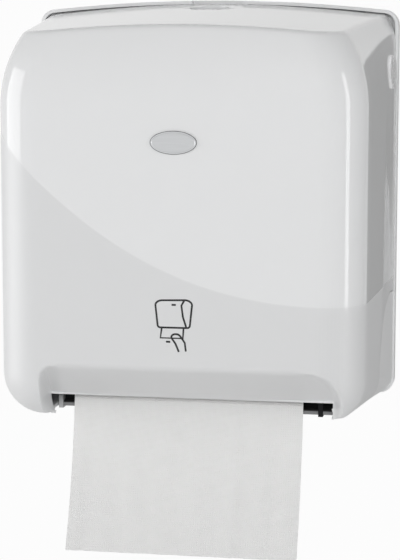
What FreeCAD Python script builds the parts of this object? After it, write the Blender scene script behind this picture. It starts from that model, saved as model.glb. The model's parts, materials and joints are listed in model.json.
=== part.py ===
import FreeCAD, Part
import math
import os

# Wall-mounted roll towel dispenser with an automatic cutter that is worked by the pull on the towel.
# Millimetres. X to the right, +Y into the wall, Z up. The origin is the middle of the wall face.

V = FreeCAD.Vector
X_AXIS = V(1, 0, 0)
Y_AXIS = V(0, 1, 0)
Z_AXIS = V(0, 0, 1)

# --- driving sizes of the case
width = 330.0                # over the rear housing
rim_top = 185.5              # top of the rear rim at the middle
case_bottom = -171.0
case_depth = 221.0           # wall to the front of the cover
wall = 3.0                   # moulded wall of cover and housing
rim_depth = 12.0             # rear rim, from the wall forward
rim_step_side = 1.0          # the rim stands this far outside the cover
rim_step_top = 2.0
rim_corner = 14.0
rim_crown = 8.0              # fall of the rim's top edge from the middle to the corner
notch_width = 46.0           # gap in the rim above the lock
side_taper = 0.045           # each side of the cover, per mm forward
case_corner = 36.0           # radius of the front corners, and of the lower ones at the front
rear_corner = 13.0           # of the lower corners at the wall
front_crown = 7.0            # bulge of the front across its width
shoulder_start = 98.0        # height where the sides and the front begin to lean in
shoulder_radius = 105.0      # of that lean, at the front
shoulder_reach = 185.0       # depth at which it has this radius
rear_shoulder_start = 150.0  # the same at the wall, where only the top corner is rounded
rear_shoulder_radius = 40.0
lean_steps = 4               # flat bands that make up the lean of the top
brow_lean_depth = 12.0       # the front's lean back, over the height below
brow_lean_rise = 72.0
prism_start = -108.0         # between here and the shoulder the walls are upright
top_slope = 17.0             # fall of the cover's top from back to front
bottom_rise = 10.0           # rise of the cover's lower edge from back to front

# --- mouth
lip_y = -172.0
lip_z = -147.0
lip_half = 118.5
brow_z = -109.0              # upper edge of the recess, on the front
recess_half = 121.0
recess_corner = 26.0

# --- fits
parting_gap = 0.6            # between cover and housing
running_gap = 0.05           # radial clearance of a pin or shaft in its hole
seat_gap = 0.3               # face clearance between pieces that move apart

# --- cover hinge
hinge_y = -30.0
hinge_z = -145.0
cheek_radius = 70.0          # the housing's side cheeks, about the hinge
hinge_pin_radius = 3.0
hinge_arm_x = width / 2 - 28   # inner face of each hinge arm
hinge_arm_thick = 4.0
hinge_arm_half = 7.0
hinge_arm_rise = 10.0        # degrees
hinge_arm_reach = 82.0
ear_thick = 5.5

# --- wall fixing and lock
back_plate = 3.0
wall_slot_x = width / 2 - 30
wall_slot_high = 125.0
wall_slot_low = -100.0
wall_slot_radius = 3.0
wall_slot_length = 18.0
lock_y = -52.0
lock_radius = 11.5
lock_base = rim_top - 22.5   # underside of the lock cup
lock_cup_radius = 17.5
lock_boss_radius = 20.0
lock_stem_half = 4.0
lock_cup_floor = lock_base + 13
lock_barrel_low = lock_base + 3
lock_cam_reach = 20.0
lock_cam_half = 5.0
lock_cam_low = lock_base - 8
striker_low = lock_base - 20
striker_top = lock_base - 3.5
striker_front = lock_y - 10
disc_y = -38.0
disc_z = 123.0
disc_radius = 15.0
disc_proud = 1.4
badge_z = 71.0
badge_wide = 37.0
badge_high = 19.5
screw_head_radius = 4.0
screw_head_high = 2.5

# --- towel
towel_width = 200.0
towel_thick = 0.4
tail_end_y = -196.0
tail_end_z = -282.0
tail_bend_z = -132.0         # the tail hangs straight down to here
roll_y = -104.0
roll_z = 54.0
roll_radius = 85.0
core_radius = 20.0           # inside of the core
core_wall = 1.5
roll_arm_height = 30.0
roll_arm_thick = 4.0
hub_radius = 18.5
hub_plug = 8.0

# --- drum and knife
drum_y = -113.0
drum_z = -88.0
drum_radius = 42.0
drum_wall = 4.0
drum_half = towel_width / 2 + 5
cap_thick = 3.0
strip_width = 5.0
strip_depth = 1.5
slot_turn = -15.0            # where the knife slot faces at rest, degrees above straight back
slot_low = -23.5             # the slot's edges, across its facing
slot_high = 8.0
stub_radius = 6.0
knife_pivot = (16.0, -26.0)  # along and across the slot's facing, from the drum's axis
knife_tip = (36.5, 3.0)
follower_pin = (2.8, -30.8)
knife_pin_radius = 2.5
follower_radius = 4.0
blade_thick = 1.0

# --- frames and rollers
frame_x = drum_half + 7      # inner face of each side frame
frame_thick = 4.0
frame_back = -10.0
foot_z = (-135.0, -45.0)
race_radius = 36.0
pinch_radius = 9.0
pinch_shaft_radius = 4.0
pinch_block_half = 5.0
guide_front_y = -149.0
guide_front_z = -163.2
guide_heel = (drum_y - 19, drum_z - 58)
guide_tail = (drum_y - 5, drum_z - 53)
bead_radius = 2.8
comb_finger_width = 3.0
feed_wheel_radius = 27.0
ratchet_radius = 19.0
ratchet_teeth = 12
foot_thick = 3.0
tie_radius = 3.0
tie_places = ((-22.0, -42.0), (-22.0, -138.0))
pinch_angle = 40.0           # where the pinch roller meets the drum, up from straight back
pinch_reach = drum_radius + pinch_radius + towel_thick + 2 * running_gap
pinch_y = drum_y + pinch_reach * math.cos(math.radians(pinch_angle))
pinch_z = drum_z + pinch_reach * math.sin(math.radians(pinch_angle))
pinch_slot_top = pinch_z + 15.0
crank_x = frame_x + 11
crank_throw = 13.0
spring_peg_y = drum_y
spring_peg_z = -40.0
wheel_x = frame_x + frame_thick + 2
pawl_y = -90.0
pawl_z = -65.0
arm_x = towel_width / 2 + 4  # inner face of each roll arm
arm_pin_y = -15.0


# --- helpers
def box(x0, x1, y0, y1, z0, z1):
    return Part.makeBox(x1 - x0, y1 - y0, z1 - z0, V(x0, y0, z0))


def rod_x(x0, x1, y, z, radius):
    return Part.makeCylinder(radius, x1 - x0, V(x0, y, z), X_AXIS)


def fused(shapes):
    result = shapes[0]
    for shape in shapes[1:]:
        result = result.fuse(shape)
    return result.removeSplitter()


def both_sides(shape):
    return [shape, shape.mirror(V(0, 0, 0), X_AXIS)]


def arc(a, b, c):
    return Part.Arc(a, b, c).toShape()


def line(a, b):
    return Part.makeLine(a, b)


# --- case shape
def lean_of(height, start, radius):
    """How far a wall that bends inwards above a height has moved there."""
    rise = max(height - start, 0)
    return radius - math.sqrt(radius ** 2 - rise ** 2)


def side_taper_at(height):
    """How much a side narrows per mm forward: more towards the top, where the shoulders lean in."""
    rear = lean_of(height, rear_shoulder_start, rear_shoulder_radius)
    return side_taper + (lean_of(height, shoulder_start, shoulder_radius) - rear) / shoulder_reach


def side_at(y, height):
    """Half the case's width at a place."""
    rear = lean_of(height, rear_shoulder_start, rear_shoulder_radius)
    return width / 2 - rim_step_side - rear + side_taper_at(height) * y


def case_section(height, inset, rear_tuck, tuck, slope):
    """The case's plan at a height: tapered sides, rounded front corners and a crowned front.

    The inset is the wall's thickness. The tucks draw the outline in towards the rounded lower edge,
    at the wall and at the front.
    """
    lean_radius = (brow_lean_rise ** 2 + brow_lean_depth ** 2) / (2 * brow_lean_depth)
    side = side_at(0, height) - inset - rear_tuck
    taper = side_taper_at(height) + (tuck - rear_tuck) / shoulder_reach
    front = -case_depth + inset + tuck + lean_of(height, shoulder_start, lean_radius)
    corner = case_corner - inset - tuck
    crown_radius = ((width / 2) ** 2 + front_crown ** 2) / (2 * front_crown)
    stretch = math.sqrt(1 + taper ** 2)
    centre_y = front + corner
    for _ in range(8):
        centre_x = side + taper * centre_y - corner * stretch
        centre_y = front + crown_radius - math.sqrt((crown_radius - corner) ** 2 - centre_x ** 2)
    out = V(1 / stretch, -taper / stretch, 0)
    ahead = V(centre_x, centre_y - front - crown_radius, 0)
    ahead.normalize()
    between = out + ahead
    between.normalize()

    def at(x, y):
        return V(x, y, height - slope * y)

    def corner_at(way, direction):
        return at(way * (centre_x + corner * direction.x), centre_y + corner * direction.y)

    back = case_depth / 4
    back_x = side + taper * back
    return Part.Wire([
        line(at(back_x, back), corner_at(1, out)),
        arc(corner_at(1, out), corner_at(1, between), corner_at(1, ahead)),
        arc(corner_at(1, ahead), at(0, front), corner_at(-1, ahead)),
        arc(corner_at(-1, ahead), corner_at(-1, between), corner_at(-1, out)),
        line(corner_at(-1, out), at(-back_x, back)),
        line(at(-back_x, back), at(back_x, back)),
    ])


def case_block(inset):
    """The case's solid, or the room inside it: ruled between plans, with its lower edge rounded."""
    corner = case_corner - inset
    rear = rear_corner - inset
    low = []
    for degrees in (18, 42, 66, 90):
        turn = math.radians(degrees)
        up, out = 1 - math.cos(turn), 1 - math.sin(turn)
        slope = bottom_rise / case_depth + (corner - rear) * up / shoulder_reach
        low.append(case_section(case_bottom + inset + rear * up, inset, rear * out, corner * out, slope))
    low.append(case_section(prism_start, inset, 0, 0, 0))
    upright = Part.Face(low[-1]).extrude(V(0, 0, shoulder_start - prism_start))
    rise = (rim_top - shoulder_start) / lean_steps
    high = [case_section(shoulder_start + i * rise, inset, 0, 0, 0) for i in range(lean_steps + 1)]
    body = Part.makeLoft(low, True, True).fuse(upright).fuse(Part.makeLoft(high, True, True))
    return body.common(crowned_block(rim_top - rim_step_top, inset, top_slope / case_depth))


def crowned_block(top_at_wall, inset, slope):
    """Everything under the crowned top, which falls towards the front."""
    half = width / 2 - rim_corner
    radius = (half ** 2 + rim_crown ** 2) / (2 * rim_crown)
    back = 60
    length = case_depth + 2 * back
    drum = Part.makeCylinder(radius, length, V(0, back, top_at_wall - inset - radius), V(0, -1, 0))
    drum.rotate(V(0, 0, top_at_wall - inset), X_AXIS, math.degrees(math.atan(slope)))
    return drum


def recess_solid(half, corner, grow):
    """The scooped brow over the mouth: its outline as seen from the front, under the slope to the lip."""
    back, top, low = lip_y + grow, brow_z + grow, case_bottom - 20
    shift = corner * math.sqrt(0.5)
    outline = Part.Wire([
        line(V(-half, back, low), V(-half, back, top - corner)),
        arc(V(-half, back, top - corner), V(corner - half - shift, back, top + shift - corner),
            V(corner - half, back, top)),
        line(V(corner - half, back, top), V(half - corner, back, top)),
        arc(V(half - corner, back, top), V(half - corner + shift, back, top + shift - corner),
            V(half, back, top - corner)),
        line(V(half, back, top - corner), V(half, back, low)),
        line(V(half, back, low), V(-half, back, low)),
    ])
    slope = (brow_z - lip_z) / (lip_y + case_depth)
    rise = grow * math.sqrt(1 + slope ** 2)
    ahead = lip_y - case_depth
    under = side_plate(-width, 2 * width, [
        (back, lip_z + rise - slope * grow), (ahead, lip_z + rise + slope * case_depth),
        (ahead, low), (back, low)])
    return Part.Face(outline).extrude(V(0, -case_depth, 0)).common(under)


def flange_outline(y):
    """Outline of the rear housing: crowned top, rounded lower corners."""
    half = width / 2
    top = rim_top - rim_crown
    shift = rim_corner * math.sqrt(0.5)
    low_shift = rear_corner * math.sqrt(0.5)
    low = case_bottom + rear_corner
    return Part.Wire([
        arc(V(rim_corner - half, y, top), V(0, y, rim_top), V(half - rim_corner, y, top)),
        arc(V(half - rim_corner, y, top), V(half - rim_corner + shift, y, top - rim_corner + shift),
            V(half, y, top - rim_corner)),
        line(V(half, y, top - rim_corner), V(half, y, low)),
        arc(V(half, y, low), V(half - rear_corner + low_shift, y, low - low_shift),
            V(half - rear_corner, y, case_bottom)),
        line(V(half - rear_corner, y, case_bottom), V(rear_corner - half, y, case_bottom)),
        arc(V(rear_corner - half, y, case_bottom), V(rear_corner - half - low_shift, y, low - low_shift),
            V(-half, y, low)),
        line(V(-half, y, low), V(-half, y, top - rim_corner)),
        arc(V(-half, y, top - rim_corner), V(rim_corner - half - shift, y, top - rim_corner + shift),
            V(rim_corner - half, y, top)),
    ])


def side_plate(x, thick, points):
    """A plate across X whose outline is given as (Y, Z) points."""
    corners = [V(x, y, z) for y, z in points]
    return Part.Face(Part.makePolygon(corners + [corners[0]])).extrude(V(thick, 0, 0))


def around(y, z, radius, degrees):
    """The (Y, Z) point at an angle from straight back, turning up."""
    turn = math.radians(degrees)
    return (y + radius * math.cos(turn), z + radius * math.sin(turn))


def drum_point(along, across):
    """A point of the drum's own section, given along and across the slot's facing."""
    turn = math.radians(slot_turn)
    return (drum_y + along * math.cos(turn) - across * math.sin(turn),
            drum_z + along * math.sin(turn) + across * math.cos(turn))


def drum_block(x0, x1, along, across):
    """A box square to the knife slot."""
    corners = [drum_point(along[i], across[j]) for i, j in ((0, 0), (1, 0), (1, 1), (0, 1))]
    return side_plate(x0, x1 - x0, corners)


def screw_heads(places):
    """Hexagon heads against the feet that they hold down."""
    heads = []
    for place in places:
        corners = [place + V(screw_head_radius * math.cos(math.radians(60 * i)), 0,
                             screw_head_radius * math.sin(math.radians(60 * i))) for i in range(7)]
        heads.append(Part.Face(Part.makePolygon(corners)).extrude(V(0, -screw_head_high, 0)))
    return heads


# --- rear housing
def hinge_ear():
    """An ear each side holds the pin on which a cover arm turns."""
    start = hinge_arm_x + hinge_arm_thick + seat_gap
    ear = box(start, start + ear_thick, hinge_y, -back_plate,
              hinge_z - hinge_arm_half, hinge_z + hinge_arm_half)
    ear = ear.fuse(rod_x(start, start + ear_thick, hinge_y, hinge_z, hinge_arm_half)).removeSplitter()
    return ear.cut(rod_x(0, width / 2, hinge_y, hinge_z, hinge_pin_radius))


def back_housing():
    flange = Part.Face(flange_outline(-rim_depth)).extrude(V(0, rim_depth, 0))
    room = flange_outline(0).makeOffset2D(-wall)
    room = Part.Face(room).extrude(V(0, -rim_depth - 1, 0))
    room.translate(V(0, -back_plate, 0))
    housing = flange.cut(room)
    half = notch_width / 2
    notch = box(-half, half, -rim_depth - 1, -back_plate, rim_top - wall - 4, rim_top + 1)
    housing = housing.cut(notch)
    cheeks = outer.cut(inner).common(rod_x(-width, width, hinge_y, hinge_z, cheek_radius))
    cheeks = cheeks.common(box(-width, width, -2 * case_depth, -rim_depth, -width, width))
    slots = []
    for start in (hinge_arm_x - 2 * parting_gap, -hinge_arm_x - hinge_arm_thick - 2 * parting_gap):
        end = start + hinge_arm_thick + 4 * parting_gap
        slots.append(box(start, end, hinge_y - 1.2 * cheek_radius, hinge_y + hinge_arm_half + 2,
                         case_bottom - 5, hinge_z - hinge_arm_half))
        slots.append(box(start, end, hinge_y - 1.2 * cheek_radius, hinge_y - hinge_arm_half - 1,
                         case_bottom - 5, hinge_z + hinge_arm_half))
    housing = fused([housing, cheeks] + both_sides(hinge_ear())).cut(fused(slots))
    lip_x = width / 2 - rim_step_side - wall - 2 * parting_gap
    lip = box(lip_x - 2, lip_x, -rim_depth - 8, -back_plate, hinge_z + cheek_radius + 10, shoulder_start - 10)
    slope = top_slope / case_depth
    top_lip = box(-100, 100, -rim_depth - 8, -back_plate, shoulder_start, rim_top)
    top_lip = top_lip.common(crowned_block(rim_top - rim_step_top, wall + 2 * parting_gap, slope))
    top_lip = top_lip.cut(crowned_block(rim_top - rim_step_top, wall + 2 * parting_gap + 2, slope))
    ribs = [box(x - 1, x + 1, -rim_depth, -back_plate, -20, 110) for x in (-60, 60)]
    housing = fused([housing, top_lip] + both_sides(lip) + ribs)
    holes = []
    for z in (wall_slot_high, wall_slot_low):
        reach = wall_slot_length / 2 - wall_slot_radius
        hole = box(wall_slot_x - reach, wall_slot_x + reach, -back_plate - 1, 1,
                   z - wall_slot_radius, z + wall_slot_radius)
        for end in (-reach, reach):
            hole = hole.fuse(Part.makeCylinder(wall_slot_radius, back_plate + 2,
                                               V(wall_slot_x + end, 1, z), V(0, -1, 0)))
        holes.extend(both_sides(hole))
    return housing.cut(fused(holes))


def fixing_places():
    """Where screws go through feet into the back plate: frames, roll arms and striker."""
    foot_face = -back_plate - foot_thick
    places = [V(side * (frame_x + frame_thick + 7), foot_face, z) for side in (-1, 1) for z in foot_z]
    places += [V(side * (arm_x + roll_arm_thick + 9), foot_face, roll_z) for side in (-1, 1)]
    places += [V(side * 14, foot_face, striker_low - 8) for side in (-1, 1)]
    return places


def strike_bracket():
    tongue = box(-notch_width / 2, notch_width / 2, striker_front, -back_plate, striker_low, striker_low + 3)
    foot = box(-notch_width / 2, notch_width / 2, -back_plate - foot_thick, -back_plate,
               striker_low - 16, striker_low)
    post = box(11, 22, striker_front, striker_front + 4, striker_low, striker_top)
    return fused([tongue, foot, post])


# --- cover
def hinge_arm():
    """An arm from the pin to the side wall, which it meets beyond the cheek."""
    reach = V(0, -math.cos(math.radians(hinge_arm_rise)), math.sin(math.radians(hinge_arm_rise)))
    arm = box(hinge_arm_x, hinge_arm_x + hinge_arm_thick, hinge_y - hinge_arm_reach, hinge_y,
              hinge_z - hinge_arm_half, hinge_z + hinge_arm_half)
    arm = arm.fuse(rod_x(hinge_arm_x, hinge_arm_x + hinge_arm_thick, hinge_y, hinge_z, hinge_arm_half))
    web = box(hinge_arm_x, width / 2 - 8, hinge_y - hinge_arm_reach, hinge_y - cheek_radius - 4,
              hinge_z - hinge_arm_half, hinge_z + hinge_arm_half)
    arm = arm.fuse(web)
    arm.rotate(V(0, hinge_y, hinge_z), X_AXIS, -hinge_arm_rise)
    return arm.cut(rod_x(0, width, hinge_y, hinge_z, hinge_pin_radius + running_gap))


def front_cover():
    recess = recess_solid(recess_half, recess_corner, 0)
    deep = recess_solid(recess_half + wall, recess_corner + wall, wall)
    skin = outer.cut(recess).cut(inner.cut(deep))
    cheek_cut = rod_x(-width, width, hinge_y, hinge_z, cheek_radius + parting_gap)
    rear_cut = box(-width, width, -rim_depth - parting_gap, case_depth, -width, width)
    mouth = box(-lip_half, lip_half, lip_y, hinge_y - 40, case_bottom - 20, lip_z)
    cover = skin.cut(cheek_cut).cut(rear_cut).cut(mouth)
    boss = Part.makeCylinder(lock_boss_radius, rim_top - lock_base, V(0, lock_y, lock_base)).common(outer)
    cover = fused([cover, boss] + both_sides(hinge_arm()))
    cover = cover.cut(Part.makeCylinder(lock_cup_radius, 40, V(0, lock_y, lock_cup_floor)))
    cover = cover.cut(Part.makeCylinder(lock_radius + running_gap, 40, V(0, lock_y, lock_base - 5)))
    return cover.cut(side_disc())


def badge_plate():
    """A bare oval plate: two flat arcs joined by two tight ones."""
    wide, high = badge_wide / 2, badge_high / 2
    bend_x, bend_z = 0.86 * wide, 0.62 * high
    y = -case_depth + 2
    oval = Part.Wire([
        arc(V(-bend_x, y, bend_z), V(0, y, high), V(bend_x, y, bend_z)),
        arc(V(bend_x, y, bend_z), V(wide, y, 0), V(bend_x, y, -bend_z)),
        arc(V(bend_x, y, -bend_z), V(0, y, -high), V(-bend_x, y, -bend_z)),
        arc(V(-bend_x, y, -bend_z), V(-wide, y, 0), V(-bend_x, y, bend_z)),
    ])
    plate = Part.Face(oval).extrude(V(0, -3, 0))
    plate.translate(V(0, 0, badge_z))
    return plate.cut(outer)


def side_disc():
    """A round plug that stands a little out of the leaning right side."""
    face = side_at(disc_y, disc_z)
    lean = math.atan((face - side_at(disc_y, disc_z + 1)))
    plug = Part.makeCylinder(disc_radius, wall, V(face + disc_proud - wall, disc_y, disc_z), X_AXIS)
    plug.rotate(V(face, disc_y, disc_z), Y_AXIS, -math.degrees(lean))
    plug.rotate(V(face, disc_y, disc_z), Z_AXIS, -math.degrees(math.atan(side_taper_at(disc_z))))
    return plug


def lock_barrel():
    """Barrel with a square stem that carries the cam."""
    barrel = Part.makeCylinder(lock_radius, lock_cup_floor + 1.5 - lock_barrel_low,
                               V(0, lock_y, lock_barrel_low))
    stem = box(-lock_stem_half, lock_stem_half, lock_y - lock_stem_half, lock_y + lock_stem_half,
               lock_cam_low + 3, lock_barrel_low)
    key_slot = box(-1.2, 1.2, lock_y - 4, lock_y + 4, lock_cup_floor - 2, rim_top)
    return barrel.fuse(stem).cut(key_slot)


def lock_cam():
    return box(-lock_cam_half, lock_cam_half, lock_y - lock_cam_half, lock_y + lock_cam_reach,
               lock_cam_low, lock_cam_low + 3)


def cam_screw():
    corners = [V(screw_head_radius * math.cos(math.radians(60 * i)), lock_y
                 + screw_head_radius * math.sin(math.radians(60 * i)), lock_cam_low) for i in range(7)]
    return Part.Face(Part.makePolygon(corners)).extrude(V(0, 0, -1.5))


# --- frames
def right_frame():
    """The plate beside the drum, with its foot, bores and the slot of the pinch block."""
    top, low, front = drum_z + 56, drum_z - 60, drum_y - drum_radius - 5
    horn_low = guide_front_z - 3.8
    outline = [(frame_back, foot_z[0] - 12), (frame_back, top), (drum_y - 9, top), (front, drum_z + 18),
               (front, drum_z - 24), (guide_front_y - 2, low), (guide_front_y - 2, horn_low),
               (guide_front_y + 8, horn_low), (drum_y - 15, low), (drum_y + 53, low - 2)]
    frame = side_plate(frame_x, frame_thick, outline)
    for z in foot_z:
        frame = frame.fuse(box(frame_x, frame_x + frame_thick, frame_back - 1, -back_plate, z - 9, z + 9))
        frame = frame.fuse(box(frame_x, frame_x + frame_thick + 14, -back_plate - foot_thick, -back_plate,
                               z - 9, z + 9))
    frame = frame.removeSplitter()
    bores = [rod_x(0, width, drum_y, drum_z, stub_radius + running_gap)]
    reach = pinch_block_half + running_gap
    bores.append(box(0, width, pinch_y - reach, pinch_y + reach,
                     pinch_z - pinch_block_half - 1, pinch_slot_top))
    rear, near, bottom = frame_back - 15, drum_y + 53, drum_z - 42
    window = [(rear, drum_z + 23), (rear, bottom), (near, bottom), (near, drum_z + 3)]
    bores.append(side_plate(0, width, window))
    return frame.cut(fused(bores))


def left_frame():
    return right_frame().mirror(V(0, 0, 0), X_AXIS)


def tie_rods():
    return [rod_x(-frame_x, frame_x, y, z, tie_radius) for y, z in tie_places]


def cam_tracks():
    """Arcs on the frames' inner faces that keep the knife's rollers from flying out."""
    x0, x1 = drum_half + cap_thick + seat_gap, frame_x
    ring = rod_x(x0, x1, drum_y, drum_z, race_radius + 4).cut(rod_x(x0, x1, drum_y, drum_z, race_radius))
    wedge = side_plate(x0, x1 - x0, [(drum_y, drum_z), around(drum_y, drum_z, 80, -110),
                                     around(drum_y, drum_z, 80, -60), around(drum_y, drum_z, 80, -20)])
    return both_sides(ring.common(wedge))


def lower_guide():
    """The bar behind the sheet: a bent plate with a rounded front edge."""
    bead = rod_x(-frame_x, frame_x, guide_front_y + bead_radius, guide_front_z, bead_radius)
    start = guide_front_y + bead_radius
    plate = side_plate(-frame_x, 2 * frame_x, [
        (start, guide_front_z - bead_radius), (start, guide_front_z + 1), guide_heel, guide_tail,
        (guide_tail[0], guide_tail[1] - 2), (guide_heel[0] + 1, guide_heel[1] - 3)])
    return fused([bead, plate])


def stripper_comb():
    """Fingers that reach up to the drum and turn the sheet off it."""
    fingers = []
    tip = around(drum_y, drum_z, drum_radius + 0.4, 235)
    y, z = guide_tail
    for i in range(7):
        x = (i - 3) * drum_half / 3.5 - comb_finger_width / 2
        outline = [tip, guide_heel, guide_tail, (y, z + 5), (y - 9, z + 8)]
        fingers.append(side_plate(x, comb_finger_width, outline))
    bar = side_plate(-frame_x, 2 * frame_x, [(y - 7, z - 2.5), (y, z), (y, z + 5), (y - 7, z + 2.5)])
    return fused([bar] + fingers)


# --- drum
def drum_halves():
    """Front and rear half shells with their end walls. The rear one has the knife slot."""
    end = drum_half + cap_thick
    shell = rod_x(-end, end, drum_y, drum_z, drum_radius)
    shell = shell.cut(rod_x(-drum_half, drum_half, drum_y, drum_z, drum_radius - drum_wall))
    shell = shell.cut(drum_block(3 - drum_half, drum_half - 3, (25, 50), (slot_low, slot_high)))
    cuts = [rod_x(-end, end, drum_y, drum_z, stub_radius)]
    cuts.append(rod_x(-end, end, *drum_point(*knife_pivot), knife_pin_radius + running_gap))
    low, high = follower_pin[1] - 3.2, follower_pin[1] + 10.5
    cuts.append(drum_block(-end, end, (follower_pin[0] - 3.2, follower_pin[0] + 2.8), (low, high)))
    cuts.extend(grip_strips())
    shell = shell.cut(fused(cuts))
    front = drum_block(-end, end, (-60, 0), (-60, 60))
    return shell.common(front), shell.cut(front)


def grip_strips():
    """Rubber strips let into the drum, clear of the knife slot."""
    strips = []
    for turn in (50, 90, 130, 170, 210, 250, 310):
        strip = box(-drum_half, drum_half, drum_y + drum_radius - strip_depth, drum_y + drum_radius,
                    drum_z - strip_width / 2, drum_z + strip_width / 2)
        strip.rotate(V(0, drum_y, drum_z), X_AXIS, turn + slot_turn)
        strips.append(strip.common(rod_x(-width, width, drum_y, drum_z, drum_radius)))
    return strips


def drum_shaft():
    return rod_x(-crank_x - 3, wheel_x + 14, drum_y, drum_z, stub_radius)


def knife_bar():
    """Holder of the blade: pivots in the drum's ends and carries the follower pins."""
    turn = math.atan2(knife_tip[1] - knife_pivot[1], knife_tip[0] - knife_pivot[0])

    def at(along, across):
        return drum_point(knife_pivot[0] + along * math.cos(turn) - across * math.sin(turn),
                          knife_pivot[1] + along * math.sin(turn) + across * math.cos(turn))

    half = drum_half - 4
    section = [at(-3.5, -3), at(30, -1.5), at(30, 1.5), at(12, 1.5), at(3.5, 3), at(-3.5, 3)]
    parts = [side_plate(-half, 2 * half, section)]
    pin_end = drum_half + cap_thick
    a, b = drum_point(*knife_pivot), drum_point(*follower_pin)
    across = (4 * (b[1] - a[1]) / 14.1, -4 * (b[0] - a[0]) / 14.1)
    horn = [(a[0] + across[0], a[1] + across[1]), (b[0] + across[0] / 2, b[1] + across[1] / 2),
            (b[0] - across[0] / 2, b[1] - across[1] / 2), (a[0] - across[0], a[1] - across[1])]
    for way in (-1, 1):
        inside, outside = sorted((way * (half - 4), way * half))
        parts.append(side_plate(inside, outside - inside, horn))
        inside, outside = sorted((way * half, way * pin_end))
        parts.append(rod_x(inside, outside, a[0], a[1], knife_pin_radius))
        inside, outside = sorted((way * (half - 2), way * (pin_end + seat_gap)))
        parts.append(rod_x(inside, outside, b[0], b[1], 2))
    return fused(parts)


def knife_blade():
    """A toothed strip on the holder's face."""
    turn = math.atan2(knife_tip[1] - knife_pivot[1], knife_tip[0] - knife_pivot[0])
    reach = math.hypot(knife_tip[0] - knife_pivot[0], knife_tip[1] - knife_pivot[1])
    half = drum_half - 5
    count = 20
    pitch = 2 * half / count
    points = [V(-half, 0, 20), V(-half, 0, reach - 3)]
    for i in range(count):
        points += [V(-half + (i + 0.5) * pitch, 0, reach), V(-half + (i + 1) * pitch, 0, reach - 3)]
    points.append(V(half, 0, 20))
    blade = Part.Face(Part.makePolygon(points + [points[0]])).extrude(V(0, -blade_thick, 0))
    blade.translate(V(0, -1.5, 0))
    # drawn upright above the pivot, then turned to lie along the holder
    blade.rotate(V(0, 0, 0), X_AXIS, math.degrees(turn) + slot_turn - 90)
    y, z = drum_point(*knife_pivot)
    blade.translate(V(0, y, z))
    return blade


def knife_rollers():
    y, z = drum_point(*follower_pin)
    start = drum_half + cap_thick + seat_gap
    return both_sides(rod_x(start, frame_x - seat_gap, y, z, follower_radius))


def toothed(x, thick, radius, depth, count, lean):
    """A wheel with pointed teeth, leaning for a ratchet and upright for a thumb wheel."""
    points = []
    for i in range(count):
        points.append(around(drum_y, drum_z, radius - depth, 360 * i / count))
        points.append(around(drum_y, drum_z, radius, 360 * (i + lean) / count))
    wheel = side_plate(x, thick, points)
    return wheel.cut(rod_x(x - 1, x + thick + 1, drum_y, drum_z, stub_radius))


def crank_arm():
    """The arm on the left end of the shaft, with the pin that the spring pulls."""
    y, z = around(drum_y, drum_z, crank_throw, 90)
    arm = side_plate(-crank_x - 3, 3, [
        (y - 4, z + 4), (y + 4, z + 4), (drum_y + 9, drum_z), (drum_y + 5, drum_z - 9),
        (drum_y - 5, drum_z - 9), (drum_y - 9, drum_z)])
    arm = arm.cut(rod_x(-crank_x - 3, -crank_x, drum_y, drum_z, stub_radius))
    return arm.fuse(rod_x(-crank_x - 8, -crank_x - 3, y, z, 2)).removeSplitter()


def return_spring():
    """A close-wound extension spring from the crank up to its peg, with a hook at each end."""
    x = -crank_x - 5.5
    low = drum_z + crank_throw
    coil = Part.makeCylinder(3.2, spring_peg_z - low - 16, V(x, spring_peg_y, low + 8))
    hooks = []
    for z, way in ((low, -1), (spring_peg_z, 1)):
        ends = sorted((z + way * 2.1, z + way * 2.9))
        hooks.append(box(x - 0.5, x + 0.5, spring_peg_y - 2, spring_peg_y + 2.9, *ends))
        ends = sorted((z + way * 2.1, z - way * 8))
        hooks.append(box(x - 0.5, x + 0.5, spring_peg_y + 2.1, spring_peg_y + 2.9, *ends))
    return fused([coil] + hooks)


def pawl():
    """Catch of the ratchet: its tip rides on the crests of the teeth."""
    tip = around(drum_y, drum_z, ratchet_radius + 0.3, 40)
    x = -frame_x - frame_thick - 1.2 - 3
    outline = [tip, (pawl_y - 4, pawl_z - 1), (pawl_y - 1, pawl_z + 4), (pawl_y - 8, pawl_z + 3)]
    hook = side_plate(x, 3, outline)
    hook = hook.fuse(rod_x(x, x + 3, pawl_y, pawl_z, 4.5)).removeSplitter()
    return hook.cut(rod_x(x, x + 3, pawl_y, pawl_z, 2 + running_gap))


# --- pinch roller
def pinch_blocks():
    outer_face, half = frame_x + frame_thick + seat_gap, pinch_block_half
    block = box(frame_x - 0.5, outer_face, pinch_y - half, pinch_y + half, pinch_z - half, pinch_z + half)
    flange = box(outer_face, outer_face + 1.7, pinch_y - 8, pinch_y + 8, pinch_z - half, pinch_z + half)
    bore = rod_x(0, width, pinch_y, pinch_z, pinch_shaft_radius + running_gap)
    return both_sides(fused([block, flange]).cut(bore))


def pinch_sleeve():
    half = drum_half - 13
    return rod_x(-half, half, pinch_y, pinch_z, pinch_radius).cut(
        rod_x(-half, half, pinch_y, pinch_z, pinch_shaft_radius))


def pinch_springs():
    """A zigzag spring above each block, in the slot of the frame."""
    low, high = pinch_z + pinch_block_half, pinch_slot_top
    count, thick, reach = 4, 0.6, pinch_block_half - 0.6
    pitch = (high - low - thick) / count
    leaves = []
    for i in range(count):
        side = reach if i % 2 else -reach
        z = low + i * pitch
        leaves.append(side_plate(frame_x + 0.5, frame_thick - 1, [
            (pinch_y + side, z), (pinch_y - side, z + pitch), (pinch_y - side, z + pitch + thick),
            (pinch_y + side, z + thick)]))
    return both_sides(fused(leaves))


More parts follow.
